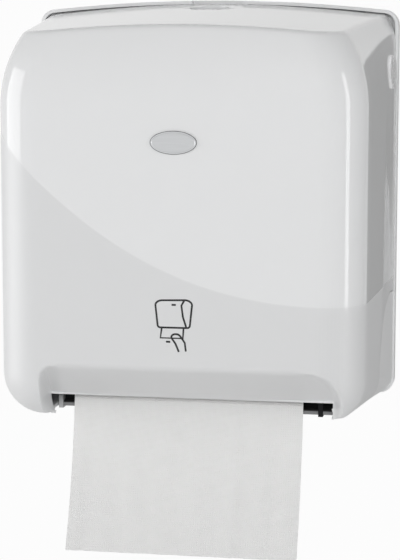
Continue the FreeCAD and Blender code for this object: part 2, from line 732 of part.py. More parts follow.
# --- towel and its holder
def left_roll_arm():
    x = -arm_x - roll_arm_thick
    half = roll_arm_height / 2
    arm = side_plate(x, roll_arm_thick, [(-back_plate, roll_z - half), (roll_y + 10, roll_z - half),
                                        (roll_y - 12, roll_z - half / 2), (roll_y - 12, roll_z + half / 2),
                                        (roll_y + 10, roll_z + half), (-back_plate, roll_z + half)])
    foot = box(x - 16, x, -back_plate - foot_thick, -back_plate, roll_z - half, roll_z + half)
    return fused([arm, foot, roll_hub().mirror(V(0, 0, 0), X_AXIS)])


def roll_hub():
    """A round plug that enters the core of the roll."""
    return rod_x(arm_x - hub_plug - 4, arm_x, roll_y, roll_z, hub_radius)


def right_roll_arm():
    """The arm that swings out on an upright pin to let the roll go."""
    x = arm_x
    half = roll_arm_height / 2
    arm = side_plate(x, roll_arm_thick, [(arm_pin_y, roll_z - half), (roll_y + 10, roll_z - half),
                                         (roll_y - 12, roll_z - half / 2), (roll_y - 12, roll_z + half / 2),
                                         (roll_y + 10, roll_z + half), (arm_pin_y, roll_z + half)])
    barrel = Part.makeCylinder(4.5, roll_arm_height, V(x + roll_arm_thick / 2, arm_pin_y, roll_z - half))
    arm = fused([arm, barrel, roll_hub()])
    bore = Part.makeCylinder(2 + running_gap, width, V(x + roll_arm_thick / 2, arm_pin_y, -width / 2))
    return arm.cut(bore)


def arm_bracket():
    """Two ears on a foot that hold the swinging arm's pin."""
    x, half = arm_x, roll_arm_height / 2 + seat_gap
    parts = [box(x, x + roll_arm_thick + 16, -back_plate - foot_thick, -back_plate,
                 roll_z - half - 4, roll_z + half + 4)]
    for z in (roll_z - half - 4, roll_z + half):
        parts.append(box(x - 2, x + roll_arm_thick + 2, arm_pin_y - 5, -back_plate, z, z + 4))
    return fused(parts).cut(Part.makeCylinder(2, width, V(x + roll_arm_thick / 2, arm_pin_y, -width / 2)))


def arm_pin():
    half = roll_arm_height / 2 + seat_gap + 4
    return Part.makeCylinder(2, 2 * half, V(arm_x + roll_arm_thick / 2, arm_pin_y, roll_z - half))


def towel_roll():
    half = towel_width / 2
    roll = rod_x(-half, half, roll_y, roll_z, roll_radius)
    return roll.cut(rod_x(-half, half, roll_y, roll_z, core_radius + core_wall))


def roll_core():
    half = towel_width / 2 + 0.8
    return rod_x(-half, half, roll_y, roll_z, core_radius + core_wall).cut(
        rod_x(-half, half, roll_y, roll_z, core_radius))


def towel_arc(y, z, radius, start, end):
    """A stretch of sheet round a roller, between two angles."""
    half = towel_width / 2
    ring = rod_x(-half, half, y, z, radius + towel_thick).cut(rod_x(-half, half, y, z, radius))
    far = 3 * radius
    points = [(y, z)] + [around(y, z, far, start + (end - start) * i / 3) for i in range(4)]
    return ring.common(side_plate(-half, 2 * half, points))


def towel_web():
    """The sheet: off the back of the roll, round the pinch roller, over the drum and out of the mouth."""
    half = towel_width / 2
    near, thick = running_gap, towel_thick
    gap_y, gap_z = pinch_y - roll_y, pinch_z - roll_z
    open_by = math.acos((roll_radius - pinch_radius) / math.hypot(gap_y, gap_z))
    lean = math.degrees(math.atan2(gap_z, gap_y) + open_by)
    run = [around(roll_y, roll_z, roll_radius + near, lean),
           around(roll_y, roll_z, roll_radius + near + thick, lean),
           around(pinch_y, pinch_z, pinch_radius + near + thick, lean),
           around(pinch_y, pinch_z, pinch_radius + near, lean)]
    front = drum_y - drum_radius - near
    drop = [(front, drum_z), (front - thick, drum_z), (front - thick, tail_bend_z),
            (tail_end_y - thick, tail_end_z), (tail_end_y, tail_end_z), (front, tail_bend_z)]
    return fused([
        side_plate(-half, 2 * half, run),
        towel_arc(pinch_y, pinch_z, pinch_radius + near, pinch_angle - 180, lean),
        towel_arc(drum_y, drum_z, drum_radius + near, pinch_angle, 180),
        side_plate(-half, 2 * half, drop),
    ])


print("case")
outer = case_block(0)
inner = case_block(wall)
print("pieces")
drum_front, drum_rear = drum_halves()
pieces = {
    "back_housing": back_housing(),
    "hinge_pins": both_sides(rod_x(hinge_arm_x - 1, hinge_arm_x + hinge_arm_thick + seat_gap + ear_thick,
                                   hinge_y, hinge_z, hinge_pin_radius)),
    "strike_bracket": strike_bracket(),
    "front_cover": front_cover(),
    "badge_plate": badge_plate(),
    "side_disc": side_disc(),
    "lock_barrel": lock_barrel(),
    "lock_cam": lock_cam(),
    "cam_screw": cam_screw(),
    "left_frame": left_frame(),
    "right_frame": right_frame(),
    "frame_screws": screw_heads(fixing_places()),
    "tie_rods": tie_rods(),
    "cam_tracks": cam_tracks(),
    "lower_guide": lower_guide(),
    "stripper_comb": stripper_comb(),
    "drum_front_half": drum_front,
    "drum_rear_half": drum_rear,
    "grip_strips": grip_strips(),
    "drum_shaft": drum_shaft(),
    "feed_wheel": toothed(wheel_x, 14, feed_wheel_radius, 3, 20, 0.5),
    "ratchet_wheel": toothed(-frame_x - frame_thick - 5, 4, ratchet_radius, 4, ratchet_teeth, 0.0),
    "crank_arm": crank_arm(),
    "return_spring": return_spring(),
    "spring_peg": rod_x(-crank_x - 8, -frame_x - frame_thick, spring_peg_y, spring_peg_z, 2),
    "knife_bar": knife_bar(),
    "knife_blade": knife_blade(),
    "knife_rollers": knife_rollers(),
    "pawl": pawl(),
    "pawl_pin": rod_x(-frame_x - frame_thick - 6, -frame_x - frame_thick, pawl_y, pawl_z, 2),
    "pinch_blocks": pinch_blocks(),
    "pinch_shaft": rod_x(-frame_x - frame_thick, frame_x + frame_thick, pinch_y, pinch_z, pinch_shaft_radius),
    "pinch_sleeve": pinch_sleeve(),
    "pinch_springs": pinch_springs(),
    "left_roll_arm": left_roll_arm(),
    "right_roll_arm": right_roll_arm(),
    "arm_bracket": arm_bracket(),
    "arm_pin": arm_pin(),
    "towel_roll": towel_roll(),
    "roll_core": roll_core(),
    "towel_web": towel_web(),
}

print("files")
os.makedirs("parts", exist_ok=True)
for name, shape in pieces.items():
    solids = shape if isinstance(shape, list) else [shape]
    whole = Part.makeCompound(solids) if len(solids) > 1 else solids[0]
    print(name, len(whole.Solids), whole.isValid(), round(whole.Volume))
    whole.exportStep("parts/" + name + ".step")
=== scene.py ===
import bpy
import bmesh
import json
import math
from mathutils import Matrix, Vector


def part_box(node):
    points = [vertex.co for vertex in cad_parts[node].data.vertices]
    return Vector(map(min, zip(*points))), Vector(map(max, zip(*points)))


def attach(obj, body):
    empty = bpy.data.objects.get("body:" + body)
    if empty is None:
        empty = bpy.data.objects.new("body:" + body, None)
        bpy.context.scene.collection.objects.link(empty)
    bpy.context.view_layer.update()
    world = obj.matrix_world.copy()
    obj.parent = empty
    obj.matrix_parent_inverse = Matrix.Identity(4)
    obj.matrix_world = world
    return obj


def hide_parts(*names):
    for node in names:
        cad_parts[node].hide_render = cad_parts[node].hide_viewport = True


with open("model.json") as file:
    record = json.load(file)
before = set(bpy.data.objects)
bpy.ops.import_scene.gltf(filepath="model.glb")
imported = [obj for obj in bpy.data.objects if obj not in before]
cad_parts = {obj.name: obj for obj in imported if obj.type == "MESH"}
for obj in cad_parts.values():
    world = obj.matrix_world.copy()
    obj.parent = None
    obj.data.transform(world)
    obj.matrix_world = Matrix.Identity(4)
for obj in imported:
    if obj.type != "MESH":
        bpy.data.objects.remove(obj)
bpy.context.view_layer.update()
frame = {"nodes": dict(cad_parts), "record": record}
mm = 0.001


def deselectAll():
    if bpy.context.object and bpy.context.object.mode != "OBJECT":
        bpy.ops.object.mode_set(mode="OBJECT")
    bpy.ops.object.select_all(action="DESELECT")


def makeActive(piece):
    deselectAll()
    piece.select_set(True)
    bpy.context.view_layer.objects.active = piece


def startEdit(piece, pickMode="FACE"):
    makeActive(piece)
    bpy.ops.object.mode_set(mode="EDIT")
    bpy.ops.mesh.select_mode(type=pickMode)
    bpy.ops.mesh.select_all(action="DESELECT")


def endEdit():
    bpy.ops.object.mode_set(mode="OBJECT")


def pickEdges(piece, test):
    mesh = bmesh.from_edit_mesh(piece.data)
    mesh.normal_update()
    for edge in mesh.edges:
        a, b = edge.verts[0].co, edge.verts[1].co
        if test(a, b, edge):
            edge.select = True
    bmesh.update_edit_mesh(piece.data)


def pickFaces(piece, test):
    mesh = bmesh.from_edit_mesh(piece.data)
    mesh.normal_update()
    for face in mesh.faces:
        if test(face.calc_center_median(), face.normal):
            face.select = True
    bmesh.update_edit_mesh(piece.data)


def moveVerts(piece, rule):
    for vert in piece.data.vertices:
        vert.co = rule(vert.co.copy())
    piece.data.update()


def moveSelected(piece, rule):
    mesh = bmesh.from_edit_mesh(piece.data)
    for vert in mesh.verts:
        if vert.select:
            vert.co = rule(vert.co.copy())
    bmesh.update_edit_mesh(piece.data)


def mergePoints(threshold=0.02 * mm):
    bpy.ops.mesh.select_all(action="SELECT")
    bpy.ops.mesh.remove_doubles(threshold=threshold)


def settle(piece, name):
    makeActive(piece)
    bpy.ops.object.transform_apply(location=True, rotation=True, scale=True)
    piece.name = name
    piece.data.name = name
    return piece


def addBox(name, low, high):
    deselectAll()
    middle = [(a + b) / 2 for a, b in zip(low, high)]
    bpy.ops.mesh.primitive_cube_add(size=1, location=middle)
    piece = bpy.context.object
    piece.scale = [b - a for a, b in zip(low, high)]
    return settle(piece, name)


def addRod(name, middle, radius, length, axis="X", sides=64):
    turns = {"X": (0, math.pi / 2, 0), "Y": (math.pi / 2, 0, 0), "Z": (0, 0, 0)}
    deselectAll()
    bpy.ops.mesh.primitive_cylinder_add(vertices=sides, radius=radius, depth=length, location=middle,
                                        rotation=turns[axis])
    return settle(bpy.context.object, name)


def applyModifier(piece, kind, **values):
    makeActive(piece)
    modifier = piece.modifiers.new(kind.lower(), kind)
    for key, value in values.items():
        setattr(modifier, key, value)
    bpy.ops.object.modifier_apply(modifier=modifier.name)


def carve(piece, tool, operation="DIFFERENCE"):
    applyModifier(piece, "BOOLEAN", operation=operation, object=tool, solver="EXACT")
    bpy.data.objects.remove(tool, do_unlink=True)


def sliceAt(piece, reaches, direction):
    startEdit(piece)
    for reach in reaches:
        bpy.ops.mesh.select_all(action="SELECT")
        bpy.ops.mesh.bisect(plane_co=direction * reach, plane_no=direction)
    endEdit()


def addTube(name, points, radius, cyclic=False, sides=3):
    curve = bpy.data.curves.new(name, "CURVE")
    curve.dimensions = "3D"
    curve.bevel_depth = radius
    curve.bevel_resolution = sides
    curve.use_fill_caps = True
    line = curve.splines.new("POLY")
    line.points.add(len(points) - 1)
    for point, spot in zip(line.points, points):
        point.co = (*spot, 1)
    line.use_cyclic_u = cyclic
    tube = bpy.data.objects.new(name, curve)
    bpy.context.collection.objects.link(tube)
    makeActive(tube)
    bpy.ops.object.convert(target="MESH")
    return bpy.context.object


def joinAll(pieces, name):
    deselectAll()
    for piece in pieces:
        piece.select_set(True)
    bpy.context.view_layer.objects.active = pieces[0]
    if len(pieces) > 1:
        bpy.ops.object.join()
    return settle(bpy.context.object, name)


def finishEdges(piece, width, angle=35, segments=2):
    applyModifier(piece, "BEVEL", width=width, segments=segments, limit_method="ANGLE",
                  angle_limit=math.radians(angle), use_clamp_overlap=True)


def smoothShade(piece, angle=32):
    makeActive(piece)
    bpy.ops.object.shade_smooth_by_angle(angle=math.radians(angle))


def place(piece, body, slotName, *nodeNames):
    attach(piece, body)
    if nodeNames:
        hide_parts(*nodeNames)


def dress(piece, material):
    piece.data.materials.clear()
    piece.data.materials.append(material)


def addNode(tree, kind, values=None, links=None):
    node = tree.nodes.new(kind)
    for key, value in (values or {}).items():
        if isinstance(key, str) and hasattr(node, key):
            setattr(node, key, value)
        else:
            node.inputs[key].default_value = value
    for key, socket in (links or {}).items():
        tree.links.new(socket, node.inputs[key])
    return node


def emptyTree(holder):
    holder.use_nodes = True
    holder.node_tree.nodes.clear()
    return holder.node_tree


def addPlane(name, middle, wide, high, tilt=0):
    deselectAll()
    bpy.ops.mesh.primitive_plane_add(size=1, location=middle, rotation=(tilt, 0, 0))
    piece = bpy.context.object
    piece.scale = (wide, high, 1)
    return settle(piece, name)


print("stage: camera, lights and floor")
cameraView = {"place": (0.3106, -1.8193, 0.1861), "yaw": 10.234, "pitch": 7.971, "lens": 128.57, "sensor": 36}
cameraData = bpy.data.cameras.new("camera")
cameraData.lens = cameraView["lens"]
cameraData.sensor_width = cameraView["sensor"]
camera = bpy.data.objects.new("camera", cameraData)
camera.location = cameraView["place"]
camera.rotation_euler = (math.radians(90 - cameraView["pitch"]), 0, math.radians(cameraView["yaw"]))
bpy.context.collection.objects.link(camera)
bpy.context.scene.camera = camera
bpy.context.scene.view_settings.view_transform = "Standard"


def addLamp(name, spot, aim, size, power, mirrored):
    lampData = bpy.data.lights.new(name, "AREA")
    lampData.shape = "RECTANGLE"
    lampData.size, lampData.size_y = size
    lampData.energy = power
    lamp = bpy.data.objects.new(name, lampData)
    lamp.location = spot
    lamp.rotation_mode = "QUATERNION"
    lamp.rotation_quaternion = (Vector(spot) - Vector(aim)).to_track_quat("Z", "Y")
    lamp.visible_glossy = mirrored
    bpy.context.collection.objects.link(lamp)


studio = {
    "front": {"spot": (0.35, -2.35, 0.6), "aim": (0, -0.1, -0.05), "size": (1.1, 0.6), "power": 24,
              "mirrored": False},
    "below": {"spot": (-0.4, -1.9, -0.85), "aim": (0, -0.1, 0), "size": (1.6, 0.8), "power": 3.5,
              "mirrored": False},
    "left": {"spot": (-1.6, -0.45, 0.0), "aim": (0, -0.15, 0), "size": (1.2, 1.25), "power": 13,
             "mirrored": True},
    "right": {"spot": (1.94, -0.84, 0.1), "aim": (0.1, -0.15, 0), "size": (0.32, 1.7), "power": 7,
              "mirrored": True},
    "above": {"spot": (0, 0.6, 1.5), "aim": (0, -0.1, 0.17), "size": (1.4, 0.7), "power": 3,
              "mirrored": False},
}
for lampName, lampValues in studio.items():
    addLamp(lampName, **lampValues)


def backdropNodes(tree, lit, plain):
    path = addNode(tree, "ShaderNodeLightPath")
    mirrored = addNode(tree, "ShaderNodeMath", {"operation": "MAXIMUM"},
                       {0: path.outputs["Is Glossy Ray"], 1: path.outputs["Is Transmission Ray"]})
    seen = addNode(tree, "ShaderNodeMath", {"operation": "MAXIMUM"},
                   {0: path.outputs["Is Camera Ray"], 1: mirrored.outputs[0]})
    mix = addNode(tree, "ShaderNodeMixShader",
                  links={0: seen.outputs[0], 1: lit.outputs[0], 2: plain.outputs[0]})
    return mix.outputs[0]


surround = {"level": 0.26, "white": (0.975, 0.975, 0.975, 1)}
world = bpy.data.worlds.new("studioWorld")
bpy.context.scene.world = world
worldTree = emptyTree(world)
worldLight = addNode(worldTree, "ShaderNodeBackground", {"Strength": surround["level"]})
worldSeen = addNode(worldTree, "ShaderNodeBackground", {"Color": surround["white"]})
addNode(worldTree, "ShaderNodeOutputWorld",
        links={"Surface": backdropNodes(worldTree, worldLight, worldSeen)})

floorSizes = {"height": -0.95, "wide": 24.0, "colour": (0.9, 0.9, 0.9, 1)}
studioFloor = addPlane("studioFloor", (0, 0, floorSizes["height"]), floorSizes["wide"], floorSizes["wide"])
floorMaterial = bpy.data.materials.new("paleFloor")
floorTree = emptyTree(floorMaterial)
floorLit = addNode(floorTree, "ShaderNodeBsdfDiffuse", {"Color": floorSizes["colour"]})
floorGlow = addNode(floorTree, "ShaderNodeEmission", {"Color": surround["white"]})
addNode(floorTree, "ShaderNodeOutputMaterial",
        links={"Surface": backdropNodes(floorTree, floorLit, floorGlow)})
dress(studioFloor, floorMaterial)

backCard = {"spot": (0.25, 1.6, -0.35), "wide": 1.1, "high": 1.3, "colour": (0.3, 0.3, 0.3, 1)}
card = addPlane("greyCard", backCard["spot"], backCard["wide"], backCard["high"], math.pi / 2)
cardMaterial = bpy.data.materials.new("greyCard")
cardTree = emptyTree(cardMaterial)
cardGlow = addNode(cardTree, "ShaderNodeEmission", {"Color": backCard["colour"]})
addNode(cardTree, "ShaderNodeOutputMaterial", links={"Surface": cardGlow.outputs[0]})
dress(card, cardMaterial)
card.visible_camera = False
card.visible_diffuse = False
card.visible_shadow = False

print("stage: shared effects")
groupOutputs = {"Colour": "NodeSocketColor", "Roughness": "NodeSocketFloat", "Normal": "NodeSocketVector"}
shaderInputs = {"Colour": "Base Color", "Roughness": "Roughness", "Normal": "Normal"}


def newGroup(name, inputs):
    group = bpy.data.node_groups.new(name, "ShaderNodeTree")
    for label, kind, value in inputs:
        socket = group.interface.new_socket(name=label, in_out="INPUT", socket_type=kind)
        if value is not None:
            socket.default_value = value
    for label, kind in groupOutputs.items():
        group.interface.new_socket(name=label, in_out="OUTPUT", socket_type=kind)
    return group, group.nodes.new("NodeGroupInput"), group.nodes.new("NodeGroupOutput")


def closeGroup(group, end, *nodes):
    for label, node in zip(groupOutputs, nodes):
        group.links.new(node.outputs[0], end.inputs[label])


def wireSurface(tree, group, shader, **instead):
    for label, socket in shaderInputs.items():
        source = instead.get(label.lower(), group.outputs[label])
        tree.links.new(source, shader.inputs[socket])


def makeGrain():
    group, start, end = newGroup(
        "mouldedGrain",
        [("Scale", "NodeSocketFloat", 900.0), ("Depth", "NodeSocketFloat", 0.1),
         ("Colour", "NodeSocketColor", None), ("Mottle", "NodeSocketFloat", 0.03),
         ("Roughness", "NodeSocketFloat", 0.4)])
    spot = addNode(group, "ShaderNodeTexCoord")
    fine = addNode(group, "ShaderNodeTexNoise", {"Detail": 3.0},
                   {"Vector": spot.outputs["Object"], "Scale": start.outputs["Scale"]})
    bump = addNode(group, "ShaderNodeBump", {"Distance": 0.0002},
                   {"Height": fine.outputs["Fac"], "Strength": start.outputs["Depth"]})
    broad = addNode(group, "ShaderNodeTexNoise", {"Scale": 9.0, "Detail": 4.0},
                    {"Vector": spot.outputs["Object"]})
    shade = addNode(group, "ShaderNodeMath", {"operation": "MULTIPLY_ADD", 2: 1.0},
                    {0: broad.outputs["Fac"], 1: start.outputs["Mottle"]})
    half = addNode(group, "ShaderNodeMath", {"operation": "MULTIPLY_ADD", 1: -0.5},
                   {0: start.outputs["Mottle"], 2: shade.outputs[0]})
    tint = addNode(group, "ShaderNodeVectorMath", {"operation": "SCALE"},
                   {0: start.outputs["Colour"], "Scale": half.outputs[0]})
    patch = addNode(group, "ShaderNodeMath", {"operation": "MULTIPLY_ADD", 1: 0.08},
                    {0: broad.outputs["Fac"], 2: start.outputs["Roughness"]})
    closeGroup(group, end, tint, patch, bump)
    return group


grainGroup = makeGrain()


def newMaterial(name):
    material = bpy.data.materials.new(name)
    material.use_nodes = True
    tree = material.node_tree
    return material, tree, tree.nodes["Principled BSDF"]


def makeMoulded(name, colour, roughness, mottle=0.03, scale=900.0, depth=0.1):
    material, tree, shader = newMaterial(name)
    grain = addNode(tree, "ShaderNodeGroup", {
        "node_tree": grainGroup, "Scale": scale, "Depth": depth, "Mottle": mottle, "Roughness": roughness,
        "Colour": (*colour, 1)})
    wireSurface(tree, grain, shader)
    return material


swooshLine = {"left": -165 * mm, "right": 140 * mm, "low": -63 * mm, "rise": 152 * mm, "bend": 2.35,
              "soft": 0.5 * mm}


def makeCoverPlastic():
    material, tree, shader = newMaterial("coverPlastic")
    spot = addNode(tree, "ShaderNodeTexCoord")
    axes = addNode(tree, "ShaderNodeSeparateXYZ", links={0: spot.outputs["Object"]})
    across = addNode(tree, "ShaderNodeMapRange",
                     {"From Min": swooshLine["right"], "From Max": swooshLine["left"]},
                     {"Value": axes.outputs["X"]})
    curve = addNode(tree, "ShaderNodeMath", {"operation": "POWER", 1: swooshLine["bend"]},
                    {0: across.outputs[0]})
    height = addNode(tree, "ShaderNodeMath",
                     {"operation": "MULTIPLY_ADD", 1: swooshLine["rise"], 2: swooshLine["low"]},
                     {0: curve.outputs[0]})
    above = addNode(tree, "ShaderNodeMath", {"operation": "SUBTRACT"},
                    {0: axes.outputs["Z"], 1: height.outputs[0]})
    mask = addNode(tree, "ShaderNodeMapRange",
                   {"From Min": -swooshLine["soft"], "From Max": swooshLine["soft"]},
                   {"Value": above.outputs[0]})
    grain = addNode(tree, "ShaderNodeGroup", {
        "node_tree": grainGroup, "Scale": 1300.0, "Depth": 0.05, "Mottle": 0.012, "Roughness": 0.3,
        "Colour": (0.78, 0.785, 0.79, 1)})
    gloss = addNode(tree, "ShaderNodeMapRange", {"To Min": 0.4, "To Max": 0.07}, {"Value": mask.outputs[0]})
    tone = addNode(tree, "ShaderNodeMapRange", {"To Min": 0.9, "To Max": 1.0}, {"Value": mask.outputs[0]})
    colour = addNode(tree, "ShaderNodeVectorMath", {"operation": "SCALE"},
                     {0: grain.outputs["Colour"], "Scale": tone.outputs[0]})
    wireSurface(tree, grain, shader, colour=colour.outputs[0], roughness=gloss.outputs[0])
    return material


print("stage: cover")
caseSizes = {
    "halfWidth": 164 * mm, "depth": 221 * mm, "bottom": -171 * mm, "top": 183.5 * mm, "corner": 36 * mm,
    "rearCorner": 13 * mm, "taper": 0.045, "taperFrom": 90 * mm, "bottomRise": 10 * mm,
    "riseBelow": -100 * mm, "riseReach": 100 * mm, "riseSlow": 0.45,
    "topFall": 17 * mm, "topCrown": 8 * mm, "crownHalf": 151 * mm,
    "frontCrown": 7 * mm, "leanStart": 98 * mm, "sideLean": 105 * mm, "sideReach": 185 * mm,
    "rearStart": 150 * mm, "rearLean": 40 * mm, "frontLean": 222 * mm, "wall": 3 * mm, "back": 12 * mm,
    "rear": -12.6 * mm, "slack": 0.1 * mm, "topBend": 35, "topBendFrom": 130 * mm, "topRound": 3.5 * mm,
    "edgeRound": 0.5 * mm,
}
caseSlices = {
    "turns": [math.tan(math.radians(5 * i)) for i in range(9)],  # even steps round each corner
    "lean": [6 * mm * i for i in range(14)],
    "across": [15 * mm * i for i in range(-8, 9)],
    "deep": [-15 * mm * i for i in range(1, 12)],
}
mouthSizes = {
    "lipY": -172 * mm, "lipZ": -150.5 * mm, "browZ": -117.5 * mm, "browSoft": 3.6 * mm, "backY": -70 * mm,
    "splayFrom": 100 * mm,
    "left": {"outer": -117 * mm, "inner": -110.5 * mm, "corner": 11 * mm, "splay": 8 * mm},
    "right": {"outer": 140 * mm, "inner": 126.5 * mm, "corner": 26 * mm, "splay": 0},
}
mouthSlices = {
    "above": 12 * mm,
    "brow": [(i - 5) * mm for i in range(12)],
    "slope": [(7 + 1.7 * i) * mm for i in range(16)],
    "lip": [2 * i * mm for i in range(6)],
    "left": [i * mm for i in range(26)],
    "right": [1.3 * i * mm for i in range(34)],
    "backStep": 0.01 * mm, "weld": 0.05 * mm,
}
hingePlace = (0, -30 * mm, -145 * mm)
cheekSizes = {"radius": 70.6 * mm, "length": 0.6}
lockPlace = {"y": -52 * mm, "cup": 17.5 * mm, "cupTool": 40 * mm, "bore": 11.6 * mm, "boreTool": 60 * mm,
             "boss": 20 * mm, "floor": 176 * mm, "low": 163 * mm}
leftward, rightward = Vector((-1, 0, 0)), Vector((1, 0, 0))
forward, rearward = Vector((0, -1, 0)), Vector((0, 1, 0))
downward, upward = Vector((0, 0, -1)), Vector((0, 0, 1))


def leanIn(rise, radius):
    rise = max(rise, 0)
    return radius - math.sqrt(radius ** 2 - rise ** 2)


def caseTop(x, y):
    crown = caseSizes["topCrown"] * (x / caseSizes["crownHalf"]) ** 2
    return caseSizes["top"] - crown + caseSizes["topFall"] * y / caseSizes["depth"]


def taperCase(point):
    sideways = math.copysign(1, point.x)
    corner = caseSizes["corner"]
    inX, inZ = caseSizes["halfWidth"] - corner, caseSizes["bottom"] + corner
    slack = caseSizes["slack"]
    if abs(point.x) > inX - slack and point.z < inZ + slack:  # lower corners grow from back to front
        share = min(-point.y / caseSizes["sideReach"], 1)
        radius = caseSizes["rearCorner"] + (corner - caseSizes["rearCorner"]) * share
        point.x += sideways * (corner - radius) * (1 - (abs(point.x) - inX) / corner)
        point.z += (radius - corner) * (1 - (inZ - point.z) / corner)
    if abs(point.x) > caseSizes["taperFrom"]:
        point.x += sideways * caseSizes["taper"] * point.y
    if point.z < caseSizes["riseBelow"]:
        near = min(-point.y, caseSizes["riseReach"])
        beyond = max(-point.y - caseSizes["riseReach"], 0)
        point.z += caseSizes["bottomRise"] * (near + caseSizes["riseSlow"] * beyond) / caseSizes["depth"]
    return point


def leanCase(point):
    start = caseSizes["leanStart"]
    across = point.x / caseSizes["halfWidth"]
    ahead = -point.y / caseSizes["depth"]
    point.y += caseSizes["frontCrown"] * across ** 2 * max(ahead, 0) ** 4
    if point.z > start:
        share = (point.z - start) / (caseSizes["top"] - start)
        point.z = start + share * (caseTop(point.x, point.y) - start)
        rise = point.z - start
        rear = leanIn(point.z - caseSizes["rearStart"], caseSizes["rearLean"])
        share = -point.y / caseSizes["sideReach"]
        lean = rear + (leanIn(rise, caseSizes["sideLean"]) - rear) * share
        point.x *= 1 - lean / caseSizes["halfWidth"]
        point.y *= 1 - leanIn(rise, caseSizes["frontLean"]) / caseSizes["depth"]
    return point


def roundCase(point):
    corner = caseSizes["corner"]
    half, depth = caseSizes["halfWidth"] - corner, caseSizes["depth"] - corner
    inner = Vector((max(-half, min(half, point.x)), max(-depth, point.y),
                    max(caseSizes["bottom"] + corner, point.z)))
    out = point - inner
    if out.length > 0:
        point = inner + out * (max(abs(out.x), abs(out.y), abs(out.z)) / out.length)
    return point


def buildCover():
    half, depth, corner = caseSizes["halfWidth"], caseSizes["depth"], caseSizes["corner"]
    cover = addBox("coverShell", (-half, -depth, caseSizes["bottom"]),
                   (half, caseSizes["back"], caseSizes["top"]))
    for reach, direction in ((half, rightward), (half, leftward), (depth, forward),
                             (-caseSizes["bottom"], downward)):
        sliceAt(cover, [reach - corner + corner * turn for turn in caseSlices["turns"]], direction)
    sliceAt(cover, [caseSizes["leanStart"] + step for step in caseSlices["lean"]], upward)
    sliceAt(cover, caseSlices["across"], rightward)
    sliceAt(cover, caseSlices["deep"], rearward)
    startEdit(cover)
    mergePoints()
    endEdit()
    for rule in (roundCase, taperCase, leanCase):
        moveVerts(cover, rule)
    startEdit(cover)
    bpy.ops.mesh.select_all(action="SELECT")
    bpy.ops.mesh.bisect(plane_co=(0, caseSizes["rear"], 0), plane_no=rearward, clear_outer=True)
    endEdit()
    scoopCover(cover)
    softenTop(cover)
    applyModifier(cover, "SOLIDIFY", thickness=caseSizes["wall"], offset=-1)
    return cover


def sliceFront(piece, reaches, direction, test=lambda middle: True):
    back, top = mouthSizes["backY"], mouthSizes["browZ"] + mouthSlices["above"]
    for reach in reaches:
        bpy.ops.mesh.select_all(action="DESELECT")
        pickFaces(piece, lambda middle, normal: middle.y < back and middle.z < top and test(middle))
        bpy.ops.mesh.bisect(plane_co=direction * reach, plane_no=direction)


def cornerDrop(side, z):
    radius = mouthSizes[side]["corner"]
    up = max(0, min(z - mouthSizes["browZ"] + radius, radius))
    return radius - math.sqrt(radius ** 2 - up ** 2)


def recessShare(x, z):
    shares = []
    for side, sign in (("left", -1), ("right", 1)):
        outer = sign * mouthSizes[side]["outer"] - cornerDrop(side, z)
        inner = sign * mouthSizes[side]["inner"] - cornerDrop(side, z)
        share = max(0, min((outer - sign * x) / (outer - inner), 1))
        shares.append(share * share * (3 - 2 * share))
    return min(shares)


def frontFace(x):
    return -caseSizes["depth"] + caseSizes["frontCrown"] * (x / caseSizes["halfWidth"]) ** 2


def scoopIn(point):
    lipY, soft = mouthSizes["lipY"], mouthSizes["browSoft"]
    below = mouthSizes["browZ"] - point.z
    if point.y > lipY or below < -soft:
        return point
    slope = (lipY + caseSizes["depth"]) / (mouthSizes["browZ"] - mouthSizes["lipZ"])
    depth = slope * (below if below > soft else (below + soft) ** 2 / (4 * soft))
    target = max(min(frontFace(point.x) + depth, lipY), point.y)
    sunk = recessShare(point.x, point.z) * (target - point.y)
    point.y += sunk
    if point.x < 0:  # the left end wall opens inwards
        aside = min(-point.x / mouthSizes["splayFrom"], 1) ** 3
        point.x -= mouthSizes["left"]["splay"] * sunk / (lipY + caseSizes["depth"]) * aside
    return point


def scoopCover(cover):
    left, right = mouthSizes["left"], mouthSizes["right"]
    sliceAt(cover, [-mouthSizes["browZ"] - mouthSlices["above"]], downward)
    startEdit(cover)
    sliceFront(cover, [-mouthSizes["browZ"] + step for step in mouthSlices["brow"]], downward)
    sliceFront(cover, [-mouthSizes["browZ"] + step for step in mouthSlices["slope"]], downward)
    sliceFront(cover, [-mouthSizes["lipZ"] + step for step in mouthSlices["lip"]], downward)
    sliceFront(cover, [-left["outer"] - step for step in mouthSlices["left"]], leftward,
               lambda middle: middle.x < 0)
    sliceFront(cover, [right["outer"] - step for step in mouthSlices["right"]], rightward,
               lambda middle: middle.x > 0)
    sliceFront(cover, [-mouthSizes["backY"] - mouthSlices["backStep"]], forward)
    endEdit()
    moveVerts(cover, scoopIn)
    startEdit(cover)
    leftEnd = left["inner"] - left["splay"]
    pickFaces(cover, lambda middle, normal: leftEnd < middle.x < right["inner"]
              and mouthSizes["lipY"] - mm < middle.y < mouthSizes["backY"] and middle.z < mouthSizes["lipZ"])
    bpy.ops.mesh.delete(type="FACE")
    mergePoints(mouthSlices["weld"])
    endEdit()


def softenTop(cover):
    startEdit(cover, "EDGE")
    pickEdges(cover, lambda a, b, edge: edge.is_manifold and a.z + b.z > 2 * caseSizes["topBendFrom"]
              and edge.calc_face_angle(0) > math.radians(caseSizes["topBend"]))
    bpy.ops.mesh.bevel(offset=caseSizes["topRound"], segments=4, profile=0.5, affect="EDGES",
                       clamp_overlap=True)
    endEdit()


armSizes = {"inner": 137 * mm, "thick": 4 * mm, "outer": 157 * mm, "half": 7 * mm, "reach": 82 * mm,
            "webStart": 74 * mm, "webStep": 0.6 * mm, "webOver": 0.5 * mm, "eyeOver": 0.2 * mm,
            "eyeWider": 0.8 * mm, "rise": 10, "bore": 3.1 * mm, "boreTool": 0.1}


